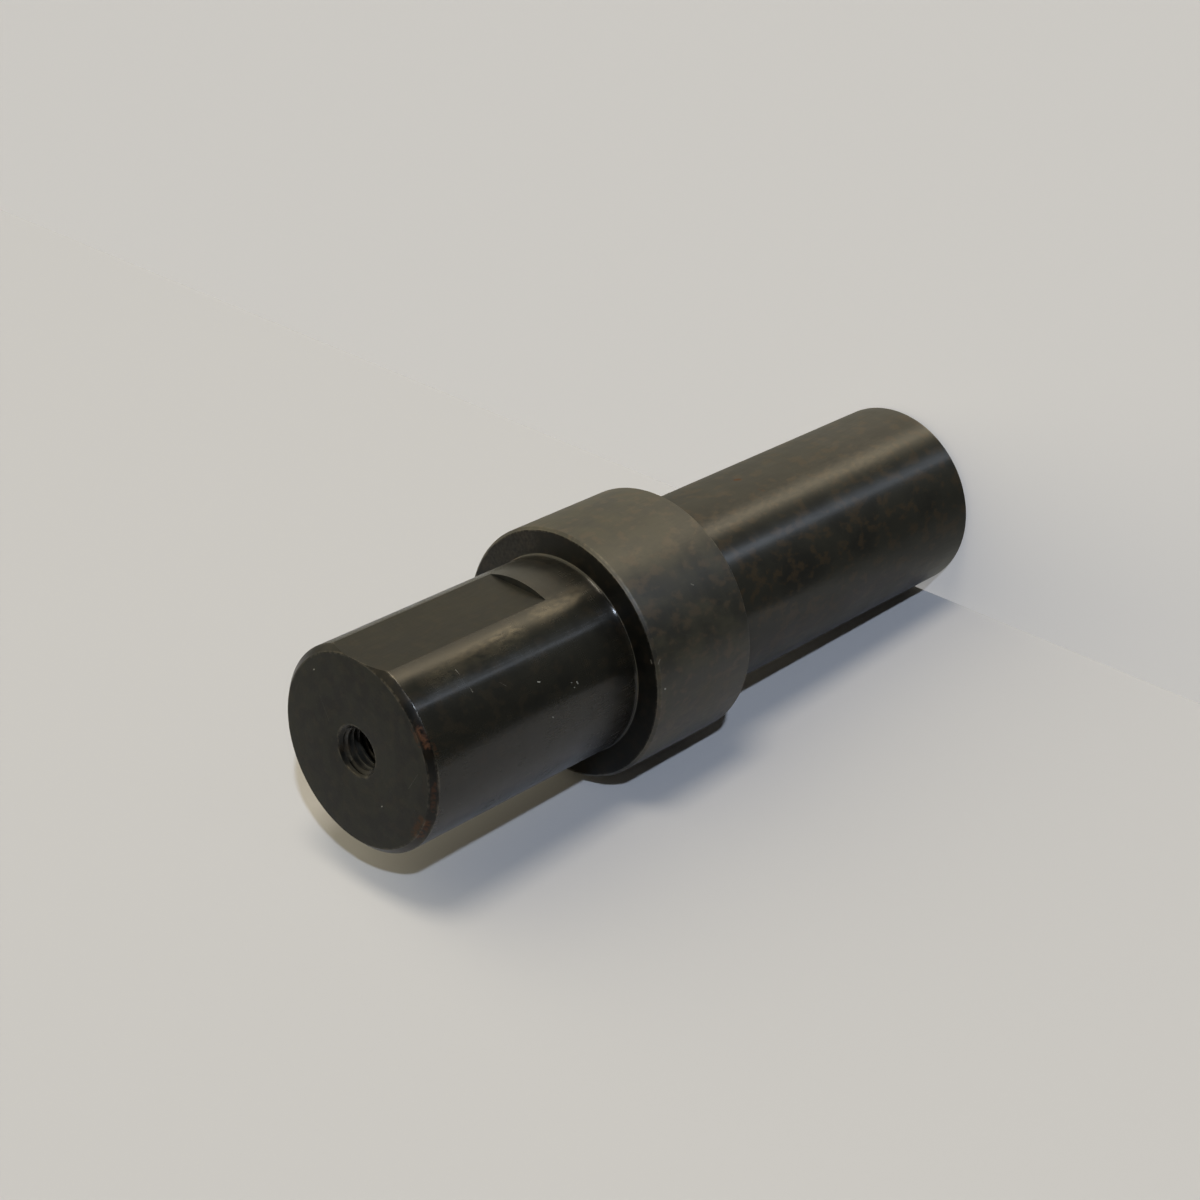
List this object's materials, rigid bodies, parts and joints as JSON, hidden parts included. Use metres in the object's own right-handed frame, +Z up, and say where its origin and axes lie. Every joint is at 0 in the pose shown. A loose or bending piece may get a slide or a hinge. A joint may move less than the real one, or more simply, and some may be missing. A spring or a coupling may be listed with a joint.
{
  "type": "stepped shaft",
  "caption": "Blackened steel stepped shaft: journals either side of a collar, with a blind tapped hole and a milled set-screw flat at one end, for a hub, gear or coupling.",
  "frame": {"origin": "centre of the plain end face, which the shaft stands on", "axes": "+Z up along the shaft's axis towards the tapped end; +X is the way the milled flat faces"},
  "size_m": [0.0636, 0.0634, 0.197],
  "materials": {
    "black_oxide_steel": "turned and ground steel, black oxide finish, lightly oiled, semi-gloss, with a trace of rust on the edges"
  },
  "bodies": {
    "root": {"shaft": "black_oxide_steel"}
  },
  "joints": []
}
